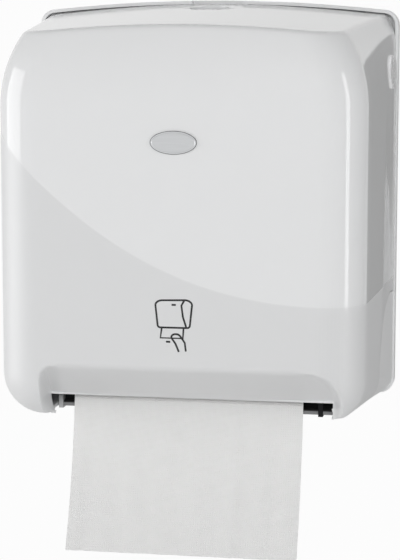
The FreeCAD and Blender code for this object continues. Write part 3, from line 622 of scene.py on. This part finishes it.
def hingeArm(side):
    y, z = hingePlace[1], hingePlace[2]
    xs = sorted((side * armSizes["inner"], side * (armSizes["inner"] + armSizes["thick"])))
    webXs = sorted((side * (armSizes["inner"] + armSizes["webStep"]), side * armSizes["outer"]))
    low, high, over = z - armSizes["half"], z + armSizes["half"], armSizes["webOver"]
    middle = (sum(xs) / 2, y, z)
    arm = addBox("hingeArm", (xs[0], y - armSizes["reach"], low), (xs[1], y, high))
    carve(arm, addRod("armEye", middle, armSizes["half"] + armSizes["eyeOver"],
                      armSizes["thick"] + armSizes["eyeWider"], "X", 48), "UNION")
    carve(arm, addBox("armWeb", (webXs[0], y - armSizes["reach"] - over, low - over),
                      (webXs[1], y - armSizes["webStart"], high + over)), "UNION")
    carve(arm, addRod("armBore", middle, armSizes["bore"], armSizes["boreTool"], "X", 48))
    turn = math.radians(armSizes["rise"])

    def tilt(point):
        ahead, up = point.y - y, point.z - z
        return Vector((point.x, y + ahead * math.cos(turn) + up * math.sin(turn),
                       z - ahead * math.sin(turn) + up * math.cos(turn)))

    moveVerts(arm, tilt)
    return arm


cover = buildCover()
carve(cover, addRod("cheekTool", hingePlace, cheekSizes["radius"], cheekSizes["length"], "X", 160))
lockFloor, lockLow = lockPlace["floor"], lockPlace["low"]
carve(cover, addRod("lockBoss", (0, lockPlace["y"], (lockLow + lockFloor) / 2), lockPlace["boss"],
                    lockFloor - lockLow, "Z", 96), "UNION")
carve(cover, addRod("cupTool", (0, lockPlace["y"], lockFloor + lockPlace["cupTool"] / 2), lockPlace["cup"],
                    lockPlace["cupTool"], "Z", 96))
carve(cover, addRod("boreTool", (0, lockPlace["y"], lockLow), lockPlace["bore"],
                    lockPlace["boreTool"], "Z", 96))
for side in (-1, 1):
    carve(cover, hingeArm(side), "UNION")
finishEdges(cover, caseSizes["edgeRound"])
smoothShade(cover)
dress(cover, makeCoverPlastic())
place(cover, "cover", "cover_plastic", "front_cover")

print("stage: badge and sign")
badgeSizes = {"z": 71 * mm, "wide": 39 * mm, "high": 19.3 * mm, "front": -222 * mm, "back": -219 * mm,
              "border": 0.5 * mm, "shadePart": 1.6, "proud": 0.15 * mm, "rim": 0.9 * mm, "sink": 0.4 * mm}


def buildBadge():
    middle = (badgeSizes["front"] + badgeSizes["back"]) / 2
    badge = addRod("badge", (0, middle, 0), 1, badgeSizes["back"] - badgeSizes["front"], "Y", 96)
    wide, high = badgeSizes["wide"] / 2, badgeSizes["high"] / 2

    def oval(point):
        return Vector((point.x * wide, point.y, point.z * high + badgeSizes["z"]))

    moveVerts(badge, oval)
    startEdit(badge)
    pickFaces(badge, lambda at, normal: normal.y < -0.9)
    bpy.ops.mesh.inset(thickness=badgeSizes["border"])
    moveSelected(badge, lambda point: point + forward * badgeSizes["proud"])
    bpy.ops.mesh.inset(thickness=badgeSizes["rim"])
    bpy.ops.mesh.inset(thickness=badgeSizes["sink"])
    moveSelected(badge, lambda point: point + rearward * badgeSizes["sink"])
    endEdit()
    smoothShade(badge, 40)
    return badge


# painted shade: the badge's outer rim faces get a dark colour that stands in for the shadow in the gap round
# the badge
def paintBorderShade(badge, material):
    badge.data.materials.append(material)
    limit = 1 - badgeSizes["shadePart"] * badgeSizes["border"] / badgeSizes["high"]
    for face in badge.data.polygons:
        x, z = face.center.x / badgeSizes["wide"], (face.center.z - badgeSizes["z"]) / badgeSizes["high"]
        if 2 * math.hypot(x, z) > limit:
            face.material_index = 1


signSizes = {"z": -80.6 * mm, "line": 0.84 * mm, "proud": 0.12 * mm, "wider": 1.18, "higher": 1.03}


def arcPoints(centre, radii, start, end, count=10):
    steps = [math.radians(start + (end - start) * i / count) for i in range(count + 1)]
    return [(centre[0] + radii[0] * math.cos(t), centre[1] + radii[1] * math.sin(t)) for t in steps]


def signLines():
    case = arcPoints((-8, 17), (5, 4), 180, 90) + arcPoints((8, 17.5), (5, 4), 90, 0)
    case += arcPoints((9.5, 1), (2, 2), 0, -90, 5) + arcPoints((-9.5, 1), (2, 2), -90, -180, 5)
    side = [(7.5, 21.3), (5.5, 17), (6.5, 8), (9, -1)]
    slot = [(-1.5, 17.5), (1.5, 17.5)]
    towel = [(-8.5, -1), (-9.5, -9.5), (6.5, -9.5), (7, -1)]
    knuckles = arcPoints((1.5, -8.5), (3.2, 2.4), 200, 20, 8)
    outerWrist = [(4.6, -7.6), (7.8, -13), (8.6, -20)]
    innerWrist = [(-1.4, -9.6), (1.2, -14), (3.6, -20.5)]
    thumb = [(-5.5, -12.5), (-2.5, -12.5)]
    openLines = (side, slot, towel, knuckles, outerWrist, innerWrist, thumb)
    return [(case, True)] + [(line, False) for line in openLines]


def buildSign():
    strokes = []
    for points, closed in signLines():
        spots = [(x * signSizes["wider"] * mm, 0, z * signSizes["higher"] * mm) for x, z in points]
        strokes.append(addTube("stroke", spots, signSizes["line"], closed))
    sign = joinAll(strokes, "pullSign")

    def lay(point):
        return Vector((point.x, frontFace(point.x) + point.y * signSizes["proud"] / signSizes["line"],
                       point.z + signSizes["z"]))

    moveVerts(sign, lay)
    smoothShade(sign, 60)
    return sign


print("stage: metals, rubber, board and paper")


def makeStreaks():
    group, start, end = newGroup(
        "brushedStreaks",
        [("Along", "NodeSocketVector", (0.04, 1.0, 1.0)), ("Scale", "NodeSocketFloat", 900.0),
         ("Depth", "NodeSocketFloat", 0.1), ("Colour", "NodeSocketColor", None),
         ("Roughness", "NodeSocketFloat", 0.3)])
    spot = addNode(group, "ShaderNodeTexCoord")
    stretched = addNode(group, "ShaderNodeVectorMath", {"operation": "MULTIPLY"},
                        {0: spot.outputs["Object"], 1: start.outputs["Along"]})
    streak = addNode(group, "ShaderNodeTexNoise", {"Detail": 4.0},
                     {"Vector": stretched.outputs[0], "Scale": start.outputs["Scale"]})
    bump = addNode(group, "ShaderNodeBump", {"Distance": 0.0001},
                   {"Height": streak.outputs["Fac"], "Strength": start.outputs["Depth"]})
    shade = addNode(group, "ShaderNodeMapRange", {"To Min": 0.9, "To Max": 1.06},
                    {"Value": streak.outputs["Fac"]})
    tint = addNode(group, "ShaderNodeVectorMath", {"operation": "SCALE"},
                   {0: start.outputs["Colour"], "Scale": shade.outputs[0]})
    rough = addNode(group, "ShaderNodeMath", {"operation": "MULTIPLY_ADD", 1: 0.12},
                    {0: streak.outputs["Fac"], 2: start.outputs["Roughness"]})
    closeGroup(group, end, tint, rough, bump)
    return group


streakGroup = makeStreaks()


def makeMetal(name, colour, roughness, along=(0.04, 1.0, 1.0), depth=0.12):
    material, tree, shader = newMaterial(name)
    streaks = addNode(tree, "ShaderNodeGroup", {
        "node_tree": streakGroup, "Along": along, "Depth": depth, "Roughness": roughness,
        "Colour": (*colour, 1)})
    wireSurface(tree, streaks, shader)
    shader.inputs["Metallic"].default_value = 1.0
    return material


guideTone = {"low": -162.8 * mm, "high": -162.2 * mm, "bead": 0.45, "bar": 0.03}


def makeGuidePlastic():
    material, tree, shader = newMaterial("guidePlastic")
    spot = addNode(tree, "ShaderNodeTexCoord")
    axes = addNode(tree, "ShaderNodeSeparateXYZ", links={0: spot.outputs["Object"]})
    bead = addNode(tree, "ShaderNodeMapRange", {"From Min": guideTone["low"], "From Max": guideTone["high"]},
                   {"Value": axes.outputs["Z"]})
    grain = addNode(tree, "ShaderNodeGroup", {
        "node_tree": grainGroup, "Colour": (0.5, 0.5, 0.51, 1), "Roughness": 0.4})
    tint = addNode(tree, "ShaderNodeMapRange", {"To Min": guideTone["bead"], "To Max": guideTone["bar"]},
                   {"Value": bead.outputs[0]})
    colour = addNode(tree, "ShaderNodeVectorMath", {"operation": "SCALE"},
                     {0: grain.outputs["Colour"], "Scale": tint.outputs[0]})
    wireSurface(tree, grain, shader, colour=colour.outputs[0])
    return material


def makeEmboss():
    group, start, end = newGroup(
        "paperEmboss",
        [("Place", "NodeSocketVector", None), ("Pitch", "NodeSocketFloat", 4 * mm),
         ("Depth", "NodeSocketFloat", 0.9), ("Colour", "NodeSocketColor", None)])
    axes = addNode(group, "ShaderNodeSeparateXYZ", links={0: start.outputs["Place"]})
    waves = []
    for kind in ("ADD", "SUBTRACT"):
        across = addNode(group, "ShaderNodeMath", {"operation": kind},
                         {0: axes.outputs["X"], 1: axes.outputs["Y"]})
        turns = addNode(group, "ShaderNodeMath", {"operation": "DIVIDE"},
                        {0: across.outputs[0], 1: start.outputs["Pitch"]})
        angle = addNode(group, "ShaderNodeMath", {"operation": "MULTIPLY", 1: 2 * math.pi},
                        {0: turns.outputs[0]})
        waves.append(addNode(group, "ShaderNodeMath", {"operation": "COSINE"}, {0: angle.outputs[0]}))
    dots = addNode(group, "ShaderNodeMath", {"operation": "MULTIPLY"},
                   {0: waves[0].outputs[0], 1: waves[1].outputs[0]})
    raised = addNode(group, "ShaderNodeMapRange", {"From Min": 0.15, "From Max": 0.95},
                     {"Value": dots.outputs[0]})
    fibre = addNode(group, "ShaderNodeTexNoise", {"Scale": 1600.0, "Detail": 5.0},
                    {"Vector": start.outputs["Place"]})
    cloud = addNode(group, "ShaderNodeTexNoise", {"Scale": 60.0, "Detail": 4.0},
                    {"Vector": start.outputs["Place"]})
    height = addNode(group, "ShaderNodeMath", {"operation": "MULTIPLY_ADD", 1: 0.3},
                     {0: fibre.outputs["Fac"], 2: raised.outputs[0]})
    bump = addNode(group, "ShaderNodeBump", {"Distance": 0.00025},
                   {"Height": height.outputs[0], "Strength": start.outputs["Depth"]})
    shade = addNode(group, "ShaderNodeMapRange", {"To Min": 0.965, "To Max": 1.0},
                    {"Value": cloud.outputs["Fac"]})
    lift = addNode(group, "ShaderNodeMapRange", {"To Min": 0.98, "To Max": 1.0}, {"Value": raised.outputs[0]})
    both = addNode(group, "ShaderNodeMath", {"operation": "MULTIPLY"},
                   {0: shade.outputs[0], 1: lift.outputs[0]})
    tint = addNode(group, "ShaderNodeVectorMath", {"operation": "SCALE"},
                   {0: start.outputs["Colour"], "Scale": both.outputs[0]})
    rough = addNode(group, "ShaderNodeMapRange", {"To Min": 0.82, "To Max": 0.95},
                    {"Value": fibre.outputs["Fac"]})
    closeGroup(group, end, tint, rough, bump)
    return group


embossGroup = makeEmboss()


def makePaper(name, source):
    material, tree, shader = newMaterial(name)
    spot = addNode(tree, "ShaderNodeTexCoord")
    paper = addNode(tree, "ShaderNodeGroup", {"node_tree": embossGroup, "Colour": (0.83, 0.83, 0.825, 1)},
                    {"Place": spot.outputs[source]})
    wireSurface(tree, paper, shader)
    shader.inputs["Sheen Weight"].default_value = 0.1
    return material


def makeRollEnd():
    material, tree, shader = newMaterial("rollLayers")
    spot = addNode(tree, "ShaderNodeTexCoord")
    shifted = addNode(tree, "ShaderNodeVectorMath", {"operation": "SUBTRACT", 1: (0, *rollMiddle)},
                      {0: spot.outputs["Object"]})
    flat = addNode(tree, "ShaderNodeVectorMath", {"operation": "MULTIPLY", 1: (0, 1, 1)},
                   {0: shifted.outputs[0]})
    radius = addNode(tree, "ShaderNodeVectorMath", {"operation": "LENGTH"}, {0: flat.outputs[0]})
    waver = addNode(tree, "ShaderNodeTexNoise", {"Scale": 40.0}, {"Vector": spot.outputs["Object"]})
    depth = addNode(tree, "ShaderNodeMath", {"operation": "MULTIPLY_ADD", 1: 0.6 * mm},
                    {0: waver.outputs["Fac"], 2: radius.outputs["Value"]})
    rings = addNode(tree, "ShaderNodeTexNoise", {"noise_dimensions": "1D", "Scale": 1500.0, "Detail": 2.0},
                    {"W": depth.outputs[0]})
    colour = addNode(tree, "ShaderNodeMapRange",
                     {"From Min": 0.3, "From Max": 0.7, "To Min": 0.6, "To Max": 0.86},
                     {"Value": rings.outputs[0]})
    bump = addNode(tree, "ShaderNodeBump", {"Distance": 0.0003, "Strength": 0.5},
                   {"Height": rings.outputs[0]})
    tree.links.new(colour.outputs[0], shader.inputs["Base Color"])
    tree.links.new(bump.outputs[0], shader.inputs["Normal"])
    shader.inputs["Roughness"].default_value = 0.9
    return material


print("stage: roll and sheet")
drumRadius = 42 * mm
pinchRadius = 9 * mm


def middleOf(nodeName):
    low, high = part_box(nodeName)
    return (low[1] + high[1]) / 2, (low[2] + high[2]) / 2


rollLow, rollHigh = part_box("towel_roll")
rollMiddle = middleOf("towel_roll")
rollRadius = (rollHigh[2] - rollLow[2]) / 2
pinchMiddle = middleOf("pinch_sleeve")
drumMiddle = middleOf("drum_shaft")
rollSizes = {"core": 21.6 * mm, "rings": 26, "ragged": 0.35 * mm, "wander": 2.4, "under": 0.2 * mm,
             "sides": 160, "slack": 0.1 * mm}


def buildRoll():
    half = rollHigh[0]
    nearEnd = half - rollSizes["slack"]
    deselectAll()
    bpy.ops.mesh.primitive_cylinder_add(vertices=rollSizes["sides"], radius=rollRadius - rollSizes["under"],
                                        depth=2 * half, location=(0, *rollMiddle),
                                        rotation=(0, math.pi / 2, 0), end_fill_type="NOTHING")
    roll = settle(bpy.context.object, "towelRoll")
    step = (rollRadius - rollSizes["core"]) / rollSizes["rings"]
    for side in (-1, 1):
        startEdit(roll, "EDGE")
        pickEdges(roll, lambda a, b, edge: a.x * side > nearEnd and b.x * side > nearEnd)
        for i in range(rollSizes["rings"]):
            bpy.ops.mesh.extrude_edges_move()
            radius = rollRadius - (i + 1) * step
            x = side * (half - rollSizes["ragged"] * (0.5 + 0.5 * math.sin(rollSizes["wander"] * i * i)))

            def shrink(point):
                away = Vector((0, point.y - rollMiddle[0], point.z - rollMiddle[1])).normalized() * radius
                return Vector((x, rollMiddle[0] + away.y, rollMiddle[1] + away.z))

            moveSelected(roll, shrink)
        endEdit()
    startEdit(roll, "EDGE")
    bpy.ops.mesh.select_non_manifold()
    bpy.ops.mesh.bridge_edge_loops()
    bpy.ops.mesh.select_all(action="SELECT")
    bpy.ops.mesh.normals_make_consistent(inside=False)
    endEdit()
    smoothShade(roll, 25)
    dress(roll, makePaper("rollPaper", "Object"))
    roll.data.materials.append(makeRollEnd())
    for face in roll.data.polygons:
        if abs(face.center.x) > half - mm:
            face.material_index = 1
    return roll


sheetSizes = {
    "half": 100 * mm, "thick": 0.34 * mm, "offset": 0.25 * mm, "nip": 40, "tailTop": -132 * mm,
    "tailEnd": (-196 * mm, -282 * mm), "lean": 0.06, "freeFrom": 18 * mm, "freeReach": 60 * mm,
    "crease": 0.95 * mm, "across": 100, "along": 280, "pinchSteps": 24, "drumSteps": 60, "tailSteps": 40,
}
sheetWaves = ((46, 3.1, 0.35), (19, 0, 0.25))  # turn across, turn per metre of height, height of each wave
sheetFolds = (  # place across, width and height of each fold
    (-0.46, 0.012, 0.8), (0.215, 0.010, 0.9), (0.375, 0.011, -0.9), (-0.12, 0.014, 0.5),
)


def around(middle, radius, angle):
    return middle[0] + radius * math.cos(angle), middle[1] + radius * math.sin(angle)


def sheetPath():
    offset = sheetSizes["offset"]
    gapY, gapZ = pinchMiddle[0] - rollMiddle[0], pinchMiddle[1] - rollMiddle[1]
    lean = math.atan2(gapZ, gapY) + math.acos((rollRadius - pinchRadius) / math.hypot(gapY, gapZ))
    nip = math.radians(sheetSizes["nip"])
    path = [around(rollMiddle, rollRadius + offset, lean)]
    for i in range(sheetSizes["pinchSteps"] + 1):
        angle = lean + (nip - math.pi - lean) * i / sheetSizes["pinchSteps"]
        path.append(around(pinchMiddle, pinchRadius + offset, angle))
    for i in range(1, sheetSizes["drumSteps"] + 1):
        angle = nip + (math.pi - nip) * i / sheetSizes["drumSteps"]
        path.append(around(drumMiddle, drumRadius + offset, angle))
    front = path[-1][0]
    path.append((front, sheetSizes["tailTop"]))
    endY, endZ = sheetSizes["tailEnd"]
    drop = sheetSizes["tailTop"] - endZ
    curl = (front - endY - sheetSizes["lean"] * drop) / drop ** 2
    for i in range(1, sheetSizes["tailSteps"] + 1):
        fall = drop * i / sheetSizes["tailSteps"]
        path.append((front - sheetSizes["lean"] * fall - curl * fall ** 2, sheetSizes["tailTop"] - fall))
    return path


def buildSheet():
    path = sheetPath()
    reach = [0.0]
    for a, b in zip(path, path[1:]):
        reach.append(reach[-1] + math.hypot(b[0] - a[0], b[1] - a[1]))
    length = reach[-1]

    def at(along):
        index = max(i for i in range(len(reach) - 1) if reach[i] <= along + 1e-9)
        share = (along - reach[index]) / (reach[index + 1] - reach[index])
        a, b = path[index], path[index + 1]
        return a[0] + (b[0] - a[0]) * share, a[1] + (b[1] - a[1]) * share

    deselectAll()
    bpy.ops.mesh.primitive_grid_add(x_subdivisions=sheetSizes["across"], y_subdivisions=sheetSizes["along"],
                                    size=1)
    sheet = settle(bpy.context.object, "towelSheet")
    layer = sheet.data.uv_layers.active.data
    for loop in sheet.data.loops:
        spot = sheet.data.vertices[loop.vertex_index].co
        layer[loop.index].uv = (spot.x * 2 * sheetSizes["half"], (0.5 - spot.y) * length)

    def lay(point):
        along = (0.5 - point.y) * length
        y, z = at(min(max(along, 0), length))
        free = max(0, min(1, (sheetSizes["tailTop"] - sheetSizes["freeFrom"] - z) / sheetSizes["freeReach"]))
        side = point.x
        crease = sum(height * math.sin(across * side + up * z) for across, up, height in sheetWaves)
        crease += sum(height * math.exp(-((side - fold) / wide) ** 2) for fold, wide, height in sheetFolds)
        return Vector((side * 2 * sheetSizes["half"], y - crease * sheetSizes["crease"] * free, z))

    moveVerts(sheet, lay)
    applyModifier(sheet, "SOLIDIFY", thickness=sheetSizes["thick"], offset=0)
    smoothShade(sheet, 50)
    dress(sheet, makePaper("sheetPaper", "UV"))
    return sheet, length


roll = buildRoll()
place(roll, "roll", "towel_paper", "towel_roll")
sheet, sheetLength = buildSheet()
place(sheet, "housing", "towel_paper", "towel_web")

print("stage: return spring")
springSizes = {"x": -128.5 * mm, "wire": 0.42 * mm, "pitch": 2.1, "coil": 2.75 * mm, "inset": 8 * mm,
               "hook": 2.6 * mm, "peg": 2.9 * mm, "steps": 14}


def buildSpring():
    low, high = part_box("return_spring")
    x, middle, wire, steps = springSizes["x"], drumMiddle[0], springSizes["wire"], springSizes["steps"]
    lowPeg, highPeg = low[2] + springSizes["peg"], high[2] - springSizes["peg"]
    bottom, top = lowPeg + springSizes["inset"], highPeg - springSizes["inset"]
    count = steps * int((top - bottom) / (springSizes["pitch"] * wire))
    points = []
    for i in range(count + 1):
        sideways, y = around((x, middle), springSizes["coil"], 2 * math.pi * i / steps)
        points.append((sideways, y, bottom + (top - bottom) * i / count))
    hooks = [addTube("springCoil", points, wire, sides=1)]
    for end, way, peg in ((bottom, -1, lowPeg), (top, 1, highPeg)):
        bend = [(x, middle + springSizes["coil"], end), (x, middle + springSizes["hook"], peg)]
        turns = [way * math.pi * i / 10 for i in range(1, 9)]
        bend += [(x, *around((middle, peg), springSizes["hook"], turn)) for turn in turns]
        hooks.append(addTube("springHook", bend, wire, sides=1))
    spring = joinAll(hooks, "returnSpring")
    smoothShade(spring, 60)
    return spring


print("stage: finishes of the other pieces")
finishes = {
    "housing_plastic": makeMoulded("housingPlastic", (0.78, 0.785, 0.79), 0.34, 0.02),
    "grey_plastic": makeMoulded("greyPlastic", (0.42, 0.425, 0.43), 0.42, 0.05),
    "dark_plastic": makeMoulded("darkPlastic", (0.035, 0.035, 0.038), 0.4, 0.1),
    "wheel_plastic": makeMoulded("wheelPlastic", (0.12, 0.2, 0.33), 0.36, 0.05),
    "grip_rubber": makeMoulded("gripRubber", (0.03, 0.03, 0.03), 0.75, 0.15, 600, 0.3),
    "core_board": makeMoulded("coreBoard", (0.36, 0.27, 0.19), 0.85, 0.18, 500, 0.4),
    "guide_plastic": makeGuidePlastic(),
    "steel": makeMetal("zincSteel", (0.62, 0.62, 0.63), 0.28),
    "spring_steel": makeMetal("springSteel", (0.5, 0.5, 0.51), 0.22, (1.0, 1.0, 0.05)),
    "blade_steel": makeMetal("bladeSteel", (0.72, 0.72, 0.73), 0.14, (1.0, 0.1, 0.1)),
    "badge_metal": makeMetal("badgeMetal", (0.62, 0.63, 0.64), 0.3, (0.05, 1.0, 1.0), 0.05),
    "disc_metal": makeMetal("discMetal", (0.9, 0.9, 0.91), 0.2, (1.0, 1.0, 0.1), 0.05),
    "lock_metal": makeMetal("lockMetal", (0.36, 0.36, 0.37), 0.3, (1.0, 0.1, 1.0), 0.1),
}


def workingCopy(nodeName, name):
    node = frame["nodes"][nodeName]
    piece = node.copy()
    piece.data = node.data.copy()
    bpy.context.collection.objects.link(piece)
    piece.name = name
    piece.data.name = name
    startEdit(piece)
    mergePoints(0.005 * mm)
    endEdit()
    return piece


guideEnds = {"left": -117 * mm, "right": 125 * mm, "near": 100 * mm}


def widenGuide(point):
    if abs(point.x) > guideEnds["near"]:
        point.x = guideEnds["right"] if point.x > 0 else guideEnds["left"]
    return point


guide = workingCopy("lower_guide", "lowerGuide")
moveVerts(guide, widenGuide)
dress(guide, finishes["guide_plastic"])
place(guide, "housing", "guide_plastic", "lower_guide")
badge = buildBadge()
dress(badge, finishes["badge_metal"])
# the dark rim colour is painted shade round the badge
paintBorderShade(badge, makeMoulded("badgeBorderShade", (0.16, 0.165, 0.17), 0.4))
place(badge, "cover", "badge_metal", "badge_plate")
sign = buildSign()
dress(sign, makeMoulded("printInk", (0.012, 0.012, 0.013), 0.45, 0.2))
place(sign, "cover", "cover_plastic")
spring = buildSpring()
dress(spring, finishes["spring_steel"])
place(spring, "housing", "steel", "return_spring")
dressed = ("front_cover", "badge_plate", "towel_roll", "towel_web", "return_spring", "lower_guide")
for part in frame["record"]["subparts"]:
    if part["node"] not in dressed:
        dress(frame["nodes"][part["node"]], finishes[part["material_slot"]])
# painted shade: the right frame is coloured near black so that its horn merges into the shaded gap beside the
# towel
dress(frame["nodes"]["right_frame"], makeMoulded("rightFrameShade", (0.004, 0.004, 0.005), 0.8))
